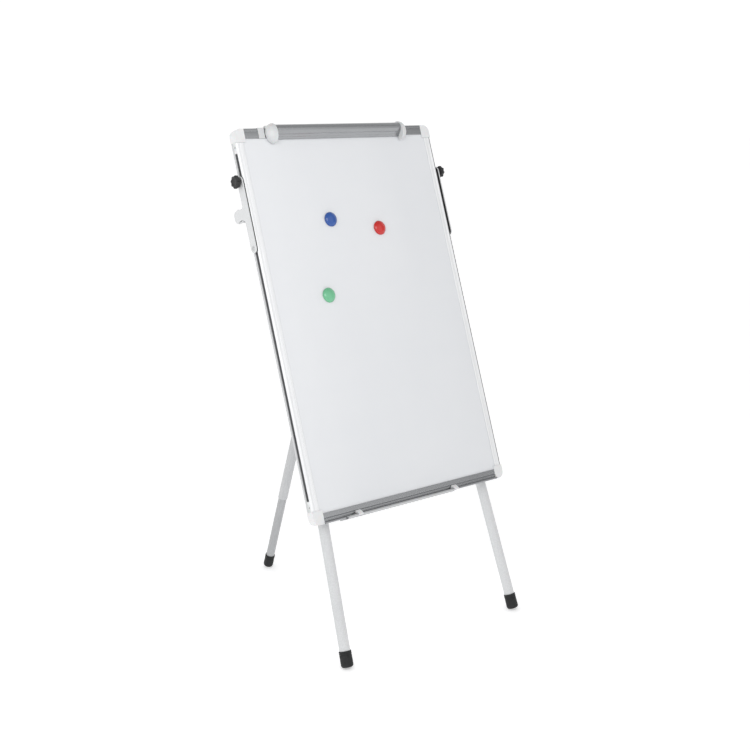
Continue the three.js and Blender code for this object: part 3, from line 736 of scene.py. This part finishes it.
def add_clamp_bar():
    """A bowed jaw with a return over the top rail and a fine rib above its lip."""
    outer = curve_through([(2.5, 6.4), (-6, 6.4), (-11.5, 4.6), (-15.5, 0.5), (-17.1, -4.5),
                           (-16.5, -9.6), (-13.5, -15.4), (-8.5, -20.9), (-4.4, -24.2)], 6)
    rib_place, rib_width, rib_height = -17.6, 0.8, 0.8
    ribbed = []
    for point in outer:
        rise = rib_height * math.exp(-(((point.y - rib_place) / rib_width) ** 2))
        ribbed.append((point.x - 0.8 * rise, point.y - 0.6 * rise))
    inner = curve_through([(-2.8, -23.4), (-7, -19.5), (-11.8, -14.4), (-14.4, -9.2), (-14.9, -4.5),
                           (-13.6, -0.6), (-10.4, 2.6), (-5.6, 4.2), (2.5, 4.2)], 6)
    lip = soften([(-4.4, -24.2), (-3.2, -27.1), (1.6, -27.5), (1.6, -25.9), (-1.2, -25.5),
                  (-2.8, -23.4)], 0.7, 4, closed=False)
    outline = [*ribbed, *lip[1:-1], *[tuple(p) for p in inner]]
    outline = [(y, BOARD_H + up) for y, up in outline]
    remake("clamp_bar", prism("x", outline, -BAR_END, BAR_END))


def hinge_rod(radius, low, high):
    """A rod along the clamp's hinge axis."""
    return moved(rod(radius, low, high, "x", 48), 0, HINGE.y, HINGE.z)


def clamp_cap():
    """The right end cap: half an egg over the bar's end, with a hinge barrel behind it."""
    wide, deep, tall = 20.9, 19, 24         # half the egg's sizes
    egg = bmesh.new()
    bmesh.ops.create_uvsphere(egg, u_segments=96, v_segments=48, radius=1)
    egg.transform(Matrix.Translation((CLAMP_END - wide, -3.2, BOARD_H - 14))
                  @ Matrix.Diagonal((wide, deep, tall, 1)))
    keep = block((BAR_END + GAP, -60, 800), (CLAMP_END + 5, HINGE.y, 1000))
    room = block((-400, -0.7, 700), (400, 60, BOARD_H + 0.9))
    barrel = hinge_rod(4.1, BAR_END + GAP, PIN_HIGH.x + 0.5)
    whole = join(cut(common(egg, keep), room), barrel)
    return cut(whole, hinge_rod(PIN_R + GAP, 100, 300))


def clamp_bracket(hooked):
    """The right bracket: a runner in the rail's slot, a bearing, and a hook if it is hooked."""
    low, high = board.box("clamp_bracket_right")
    t = BOARD_H
    hook_start = high.x - 17
    bearing_end = low.x + 12
    hook = [(-1.5, t - 23.7), *arc(-0.5, t + 0.3, 1, 180, 90, 6), (12, t + 1.3), (12, t + GAP),
            (-GAP, t + GAP), (-GAP, t - 23.7)]
    runner = block((low.x, 7, t - 5), (high.x, 11, t - GAP))
    rise = block((hook_start, 7, t - 1), (high.x, 11, t + 1))
    post = block((low.x, 7, t - 1), (bearing_end, 11, HINGE.z))
    end = [prism("x", hook, hook_start, high.x), rise] if hooked else []
    whole = join(runner, *end, post, hinge_rod(3.4, low.x, bearing_end))
    return cut(whole, hinge_rod(PIN_R + GAP, 100, 210))


def clamp_spring(low):
    """Torsion spring: three turns round the pin."""
    turns, radius, steps = 3.25, 2.9, 90
    path = []
    for i in range(steps + 1):
        angle = 2 * math.pi * turns * i / steps
        path.append((9 * i / steps, -radius * math.cos(angle), radius * math.sin(angle)))
    return moved(sweep(path, 0.5), low, HINGE.y, HINGE.z)


def add_clamp():
    add_clamp_bar()
    for name, side in SIDES:
        for part, bm, bevel in (("clamp_end_cap", clamp_cap(), 0.4),
                                ("clamp_bracket", clamp_bracket(side < 0), 0.2)):
            remake(f"{part}_{name}", sided(bm, side), bevel=bevel, finish="pale_grey_plastic")
        low, high = board.box(f"clamp_pin_{name}")
        pin = rod(PIN_R, low.x, high.x, "x", FINE, 0.4)
        remake(f"clamp_pin_{name}", moved(pin, 0, HINGE.y, HINGE.z))
        start = board.box(f"clamp_spring_{name}")[0].x
        remake(f"clamp_spring_{name}", clamp_spring(start + 0.5))


# ---------------------------------------------------------------- pen tray
BEAD = board.inverse @ Vector(JOINTS["tray_flip"]["pos_m"])
BEAD_R = 2.9


def add_tray():
    """A thin folded tray on a round bead, and the two clips that hold the bead."""
    low, high = board.box("pen_tray")
    clips = [board.centre(f"tray_clip_{i}").x for i in (1, 2)]
    end, back = high.x - 7, high.y          # past the end only the bead goes on
    section = [*arc(BEAD.y, BEAD.z, BEAD_R, -40, 230, 24), (-10.6, -2.3), (back - 1.6, -2.3),
               (back - 1.6, -4.6), (back, -4.6), (back, -0.7), (-7.4, -0.7)]
    body = prism("x", soften(section, 0.4), low.x, end)
    notch = block((clips[0] - 7.5, -14, -5), (clips[0] + 7.5, -1, 6))
    bead = arc(BEAD.y, BEAD.z, BEAD_R, 0, 345, 23)
    bare = prism("x", bead, clips[0] - 9, clips[0] + 9)
    stub = prism("x", bead, end - 2, high.x)
    remake("pen_tray", join(cut(body, notch), bare, stub), finish="silver_across")
    jaw = BEAD_R + GAP
    outline = [
        (2.7, 5.7), (2.7, 7.5), (-1.9, 7.5), (-1.9, 11.6), (-3.4, 12.4), (-6, 11.6), (-10.4, 8.4),
        *arc(BEAD.y, BEAD.z, jaw + 1.4, 115, 200, 10), *arc(BEAD.y, BEAD.z, jaw, 200, 60, 14),
        (-7, 5.6),
    ]
    for i, x in enumerate(clips, 1):
        remake(f"tray_clip_{i}", prism("x", soften(outline, 0.3), x - 6.5, x + 6.5), bevel=0.35,
               sharp=50)


# ---------------------------------------------------------------- magnets
def add_magnets():
    """Domed caps with a fine foot ring, each over a ferrite disc."""
    dome = [(0, 9.6), (3.5, 9.5), (7, 9.05), (10.3, 8.25), (13.2, 6.95), (15.5, 5.2),
            (16.8, 3.5), (17.15, 2.5)]
    cap = [tuple(p) for p in curve_through(dome, 4)]
    cap += [(17.5, 2.1), (17.5, 0.6), (17.2, 0), (16.4, 0), (15.9, 0.5), (12.9, 0.5), (12.4, 0),
            (12.4, 4.6), (0, 4.6)]
    for name in ("blue", "red", "green"):
        centre = board.centre(f"magnet_cap_{name}")
        face = board.box(f"magnet_cap_{name}")[1].y
        shell = lathe(cap, 96)
        shell.transform(Matrix.Rotation(math.pi / 2, 4, "X"))
        remake(f"magnet_cap_{name}", moved(shell, centre.x, face, centre.z))
        disc = rod(12, 0.1, 4.3, "z", 72, 0.4)
        disc.transform(Matrix.Rotation(math.pi / 2, 4, "X"))
        remake(f"magnet_disc_{name}", moved(disc, centre.x, face, centre.z))


# ---------------------------------------------------------------- stand head
CROSS = board.centre("crossbar")
CROSS_LOW, CROSS_HIGH = board.box("crossbar")
CROSS_R = (CROSS_HIGH.z - CROSS_LOW.z) / 2
KNOB = board.centre("slot_nut_right")
STUD = board.centre("guide_stud_right")
PLATE_LOW, PLATE_HIGH = board.box("side_plate_right")
FLANGE_R = 6                   # the guide stud's collar, in the slide strip's hole


def side_bore(centre, radius=HOLE_R):
    """A cutter across the right side's pieces, for the knob's or the guide stud's hole."""
    return moved(rod(radius, 200, 400, "x"), 0, centre.y, centre.z)


def side_plate():
    """The right plate: a strap over the side channel, with a lug for the crossbar behind it."""
    r = STUD.z - PLATE_LOW.z
    front, back = KNOB.y - r, KNOB.y + r
    cy, cz = CROSS.y, CROSS.z
    outline = [
        (front, STUD.z), (front, PLATE_HIGH.z - r), *arc(KNOB.y, PLATE_HIGH.z - r, r, 180, 0, 28),
        (back, cz + 20), *arc(back + 6, cz + 20, 6, 180, 270, 8),
        *arc(cy + 4, cz + 3, 11, 90, 0, 12), (cy + 15, cz - 5),
        *arc(cy + 8, cz - 9, 5, 0, -120, 12), *arc(33, cz - 27.5, 17, 60, 120, 12),
        (back, cz - 16), (back, STUD.z), *arc(KNOB.y, STUD.z, r, 0, -180, 28)[:-1],
    ]
    plate = prism("x", outline, PLATE_LOW.x, PLATE_HIGH.x)
    return cut(plate, side_bore(KNOB), side_bore(STUD))


def knob_ring(radius, depth, height, count=96):
    """One level of the star knob: eight lobes with narrow valleys of the given depth."""
    ring = []
    for k in range(count):
        angle = 2 * math.pi * k / count
        r = radius - depth * abs(math.cos(4 * angle)) ** 2.4
        ring.append((r * math.cos(angle), r * math.sin(angle), height))
    return ring


def star_knob(reach, height):
    """Star knob with a dished top on a threaded stud. Its axis is z and its seat is at 0."""
    levels = [(7.2, 0, 0), (7.8, 0, 0.4), (7.9, 0, 4.9), (8.4, 0, 5.2), (reach - 2.6, 1.4, 5.3),
              (reach - 1.0, 2.2, 5.8), (reach - 0.2, 2.8, 7.0), (reach, 3.0, 8.4),
              (reach, 3.0, height - 3.2), (reach - 0.3, 2.8, height - 1.9),
              (reach - 1.3, 2.3, height - 0.8), (reach - 3.2, 1.4, height - 0.15),
              (reach - 5.0, 0.5, height), (8.6, 0, height), (8.2, 0, height - 0.3),
              (7.8, 0, height - 1.0), (7.2, 0, height - 1.2), (2.5, 0, height - 1.25)]
    head = loft([knob_ring(*level) for level in levels])
    pitch, depth = 1.0, 0.45
    thread = [(0, -17.4), (2.3, -17.4)]
    for turn in range(16):
        low = -17.0 + turn * pitch
        thread += [(3 - depth, low), (3, low + pitch / 2)]
    thread += [(3 - depth, -1.0), (3 - depth, 0.6), (0, 0.6)]
    return join(head, lathe(thread, FINE))


def add_side_hardware():
    """Plates, knobs and studs on both sides, with the nuts and the slide strips."""
    knob_low, knob_high = board.box("clamp_knob_right")
    reach = (knob_high.z - knob_low.z) / 2
    seat = PLATE_HIGH.x + GAP
    for name, side in SIDES:
        remake(f"side_plate_{name}", sided(side_plate(), side), bevel=0.5)

        knob = turned_to(star_knob(reach, knob_high.x - seat), "x")
        knob = moved(knob, seat, KNOB.y, KNOB.z)
        remake(f"clamp_knob_{name}", sided(knob, side), sharp=50)

        low, high = board.box("slot_nut_right")
        corners = [(low.y, low.z), (high.y, low.z), (high.y, high.z), (low.y, high.z)]
        nut = cut(prism("x", corners, low.x, high.x), side_bore(KNOB))
        remake(f"slot_nut_{name}", sided(nut, side), bevel=0.6)

        low, high = board.box("plate_spacer_right")
        r = (high.y - low.y) / 2
        outline = [*arc(KNOB.y, high.z - r, r, 180, 0, 28), *arc(KNOB.y, low.z + r, r, 0, -180, 28)]
        holes = side_bore(KNOB), side_bore(STUD, FLANGE_R + GAP)
        strip = cut(prism("x", outline, low.x, high.x), *holes)
        remake(f"plate_spacer_{name}", sided(strip, side), bevel=0.3)

        low, high = board.box("guide_stud_right")
        mouth = low.x + 8.6        # where the channel opens
        profile = [(0, -8.6), (6, -8.6), (6, -3.4), (3, -3.4), (3, GAP), (FLANGE_R, GAP),
                   (FLANGE_R, 2.7), (3, 2.7), (3, 6.3), (4.9, 6.3), (4.9, 6.7), (4.4, 7.5),
                   (3.2, 8.05), (0, 8.2)]
        stud = lathe(soften(profile, 0.3, closed=False), FINE, "x")
        remake(f"guide_stud_{name}", sided(moved(stud, mouth, STUD.y, STUD.z), side))


def rivet(half, radius=3.0, head=5.0, rise=1.6):
    """A pin with a domed head outside each cheek; its axis is z."""
    top = half + GAP
    dome = [(head, 0), (head, 0.3), (head * 0.93, rise * 0.55), (head * 0.7, rise * 0.86),
            (head * 0.35, rise * 0.98), (0, rise)]
    profile = [(r, -top - h) for r, h in reversed(dome)] + [(radius, -top), (radius, top)]
    return lathe(profile + [(r, top + h) for r, h in dome], FINE)


def leg_hanger(x, pin_z, low, high):
    """An inverted U strip over the crossbar, with rounded ends and a hole for the leg's pin."""
    inner = CROSS_R + GAP
    outer = inner + 2
    outline = [(CROSS.y - outer, low.z), *arc(CROSS.y, CROSS.z, outer, 180, 0, 40),
               (CROSS.y + outer, low.z), (CROSS.y + inner, low.z),
               *arc(CROSS.y, CROSS.z, inner, 0, 180, 40), (CROSS.y - inner, low.z)]
    strip = prism("x", outline, low.x, high.x)
    wide = (high.x - low.x) / 2
    face = [*arc(x, low.z + wide, wide, 180, 360, 24), (high.x, high.z + 5), (low.x, high.z + 5)]
    rounded = common(strip, prism("y", face, CROSS.y - 40, CROSS.y + 40))
    return cut(rounded, moved(rod(HOLE_R, -60, 60, "y"), x, CROSS.y, pin_z))


def add_crossbar():
    """The crossbar, welded to its end plates, and the hangers of both front legs."""
    end = CROSS_HIGH.x
    weld = 2.2
    inner = CROSS_R - 1.5
    bead = [(CROSS_R, end - 3.4), (CROSS_R + 0.5, end - 2.9), (CROSS_R + 1.3, end - 1.8),
            (CROSS_R + weld - 0.2, end - 0.9), (CROSS_R + weld, end)]
    outside = [(r, -h) for r, h in reversed(bead)] + bead
    bar = lathe([(inner, -end), *outside, (inner, end)], FACETS, "x")
    remake("crossbar", moved(bar, 0, CROSS.y, CROSS.z))
    cheek = CROSS_R + GAP + 2
    for name, _ in SIDES:
        pin = board.centre(f"leg_pin_{name}")
        hanger = leg_hanger(pin.x, pin.z, *board.box(f"leg_hanger_{name}"))
        remake(f"leg_hanger_{name}", hanger, bevel=0.35)
        made = turned_to(rivet(cheek), "y")
        remake(f"leg_pin_{name}", moved(made, pin.x, CROSS.y, pin.z))


def add_rear_hinge():
    """A collar on the crossbar with two ears that hold the rear leg's pin."""
    pin = board.centre("rear_hinge_pin")
    low, high = board.box("rear_clevis")
    ring, ear = CROSS_R + GAP + 2.2, 9
    dy, dz = pin.y - CROSS.y, pin.z - CROSS.z
    slope = math.degrees(math.atan2(dz, dy))
    spread = math.degrees(math.acos((ring - ear) / math.hypot(dy, dz)))
    outline = [*arc(0, 0, ring, slope + spread, slope - spread + 360, 48),
               *arc(dy, dz, ear, slope - spread, slope + spread, 20)]
    collar = rod(ring, low.x, high.x, "x", FACETS)
    ears = [prism("x", outline, low.x, low.x + 2.2), prism("x", outline, high.x - 2.2, high.x)]
    bore = rod(CROSS_R + GAP, -30, 30, "x", FACETS)
    hole = moved(rod(HOLE_R, -30, 30, "x"), 0, dy, dz)
    clevis = cut(join(collar, *ears), bore, hole)
    remake("rear_clevis", moved(clevis, 0, CROSS.y, CROSS.z), bevel=0.4)
    made = turned_to(rivet(high.x), "x")
    remake("rear_hinge_pin", moved(made, 0, pin.y, pin.z))


# ---------------------------------------------------------------- legs
def foot_profile(radius, height, bore):
    """A slipper of rubber: rounded sole, slight waist, two grooves and a rolled rim."""
    rise = 0.2                     # keeps the smooth sole above the faceted one
    sole = radius - 6.4
    lower = [(0, rise), (sole, rise), *arc(sole, 6.4 + rise, 6.35, -80, -8, 10),
             (radius - 0.05, 11), (radius - 0.25, 22)]
    rim = [(0.2, 9.2), (0.9, 8.7), (0.9, 8.1), (0.1, 7.6), (0, 5.6), (0.8, 5.1), (0.8, 4.5),
           (0, 4.0), (0, 1.0), (0.4, 0.25), (1.0, 0)]      # inwards and down from the edge
    upper = [(radius - inset, height - drop) for inset, drop in rim]
    return [*lower, *upper, (bore + 0.1, height), (bore, height - 0.2), (bore, 8), (0, 8)]


def add_leg(leg):
    """Outer and inner tube, the plug that locks them and the rubber foot."""
    place = leg_place(leg)
    front = leg != "rear_leg"
    low, high = place.box(f"{leg}_outer_tube")
    radius = (high.x - low.x) / 2
    pin_node = f"leg_pin_{leg.split('_')[-1]}" if front else "rear_hinge_pin"
    pin_z = place.centre(pin_node).z
    wall = 1.2
    lip = [(radius - wall, low.z), (radius, low.z), (radius, high.z), (radius - wall, high.z)]
    outer = lathe(soften(lip, 0.45, 4))
    hole = moved(rod(HOLE_R, -30, 30, "y" if front else "x"), 0, 0, pin_z)
    # the rear leg's tubes get darker copies of the coats: painted shade
    tints = ("white_powder_coat", "grey_powder_coat") if front else ("rear_upper_painted_shade", "rear_lower_painted_shade")
    remake(f"{leg}_outer_tube", cut(outer, hole), place, finish=tints[0])

    low, high = place.box(f"{leg}_inner_tube")
    inner_r = (high.x - low.x) / 2
    inner = tube(inner_r, inner_r - wall, low.z, high.z)
    remake(f"{leg}_inner_tube", inner, place, finish=tints[1])

    low, high = place.box(f"{leg}_twist_lock")
    top = inner_r - wall - GAP
    wide = (high.x - low.x) / 2
    neck = high.z - 22
    profile = [(0, low.z), (top, low.z), (top, neck + GAP), (wide, neck + GAP), (wide, neck + 5),
               (wide - 1, neck + 5.5), (wide - 1, neck + 7.5), (wide, neck + 8), (wide, neck + 18),
               (9, high.z), (0, high.z)]
    remake(f"{leg}_twist_lock", lathe(soften(profile, 0.5, closed=False)), place)

    low, high = place.box(f"{leg}_foot")
    foot_r = (high.x - low.x) / 2
    remake(f"{leg}_foot", lathe(foot_profile(foot_r, high.z, inner_r + GAP), FACETS), place,
           sharp=60)


# ---------------------------------------------------------------- studio
def add_camera():
    """A long lens at the left front, a little above the board's top, looking slightly down."""
    roll, pitch, yaw = math.radians(-0.233), math.radians(9.615), math.radians(41.036)
    right = Vector((math.cos(yaw), -math.sin(yaw), 0))
    ahead = Vector((math.sin(yaw) * math.cos(pitch), math.cos(yaw) * math.cos(pitch),
                    -math.sin(pitch)))
    up = right.cross(ahead)
    x = right * math.cos(roll) + up * math.sin(roll)
    y = up * math.cos(roll) - right * math.sin(roll)
    camera = bpy.data.cameras.new("camera")
    camera.lens = 64.389
    camera.sensor_width = 36
    camera.shift_y = -0.06
    obj = bpy.data.objects.new("camera", camera)
    bpy.context.scene.collection.objects.link(obj)
    turn = Matrix((x, y, -ahead)).transposed().to_4x4()
    obj.matrix_world = Matrix.Translation((-2.0691, -2.4951, 1.2412)) @ turn
    bpy.context.scene.camera = obj


def add_floor():
    """A wide light table: a pale floor with a faint mottle, lit a little from below."""
    finish = Finish("studio_floor", Specular_IOR_Level=0.2, Roughness=0.7)
    below = finish.tint(finish.noise(3, 2), (0.93, 0.93, 0.935), (0.95, 0.95, 0.95))
    finish.links.new(below, finish.shader.inputs["Emission Color"])
    finish.shader.inputs["Emission Strength"].default_value = 0.37
    bm = bmesh.new()
    half = 40
    bm.faces.new([bm.verts.new((x * half, y * half, 0)) for x, y in
                  ((-1, -1), (1, -1), (1, 1), (-1, 1))])
    mesh = bpy.data.meshes.new("studio_floor")
    bm.to_mesh(mesh)
    bm.free()
    mesh.materials.append(finish.material)
    floor = bpy.data.objects.new("studio_floor", mesh)
    bpy.context.scene.collection.objects.link(floor)


def add_softbox(name, place, size, energy):
    """A square light that faces the middle of the board."""
    light = bpy.data.lights.new(name, "AREA")
    light.shape = "SQUARE"
    light.size = size
    light.energy = energy
    obj = bpy.data.objects.new(name, light)
    bpy.context.scene.collection.objects.link(obj)
    obj.location = place
    ahead = Vector((0, 0, 0.8)) - Vector(place)
    obj.rotation_euler = ahead.to_track_quat("-Z", "Y").to_euler()


def studio_world():
    """A white room that sheds less light from overhead and from a screen at the right front.

    To the camera it is plain white.
    """
    world = bpy.data.worlds.new("studio")
    bpy.context.scene.world = world
    world.use_nodes = True
    tree = world.node_tree
    direction = add_node(tree, "TexCoord").outputs["Generated"]

    def rise(towards, start, end):
        """0 to 1 as a direction's share along an axis goes from start to end."""
        dot = add_node(tree, "VectorMath", {0: direction, 1: towards}, operation="DOT_PRODUCT")
        inputs = {"Value": dot.outputs["Value"], "From Min": start, "From Max": end}
        ranged = add_node(tree, "MapRange", inputs, interpolation_type="SMOOTHSTEP")
        return ranged.outputs["Result"]

    def worked_out(operation, *values):
        node = add_node(tree, "Math", enumerate(values), operation=operation)
        return node.outputs["Value"]

    white, overhead_fall, screen_fall = 1.05, 0.58, 0.62
    overhead = worked_out("MULTIPLY", rise((0, 0, 1), 0.42, 0.9), -overhead_fall)
    right = rise((0.774, 0.611, -0.168), -0.07, 0.13)
    screen = worked_out("MULTIPLY", right, rise((0, -1, 0), 0.3, 0.5))
    room = worked_out("ADD", overhead, white)
    level = worked_out("MULTIPLY_ADD", screen, -screen_fall, room)
    seen = add_node(tree, "LightPath").outputs["Is Camera Ray"]
    plain = worked_out("MAXIMUM", level, worked_out("MULTIPLY", seen, white))
    background = tree.nodes["Background"]
    tree.links.new(plain, background.inputs["Strength"])
    background.inputs["Color"].default_value = (1, 1, 1, 1)


def add_studio():
    studio_world()
    add_softbox("key", (-1.2, -1.1, 1.5), 0.9, 6.5)
    add_softbox("fill", (-2.4, -2.6, 1.8), 1.6, 1.5)
    add_softbox("rim", (0.6, 2.8, 2.4), 1.6, 4)
    view = bpy.context.scene.view_settings
    view.view_transform = "Standard"
    view.look = "None"


# ---------------------------------------------------------------- the scene
add_camera()
add_floor()
add_studio()
for kept in ("writing_surface", "board_core", "backing_sheet"):
    dress(kept)
add_side_rails()
add_cross_rails()
add_corner_caps()
add_clamp()
add_tray()
add_magnets()
add_side_hardware()
add_crossbar()
add_rear_hinge()
for each in ("front_leg_left", "front_leg_right", "rear_leg"):
    add_leg(each)
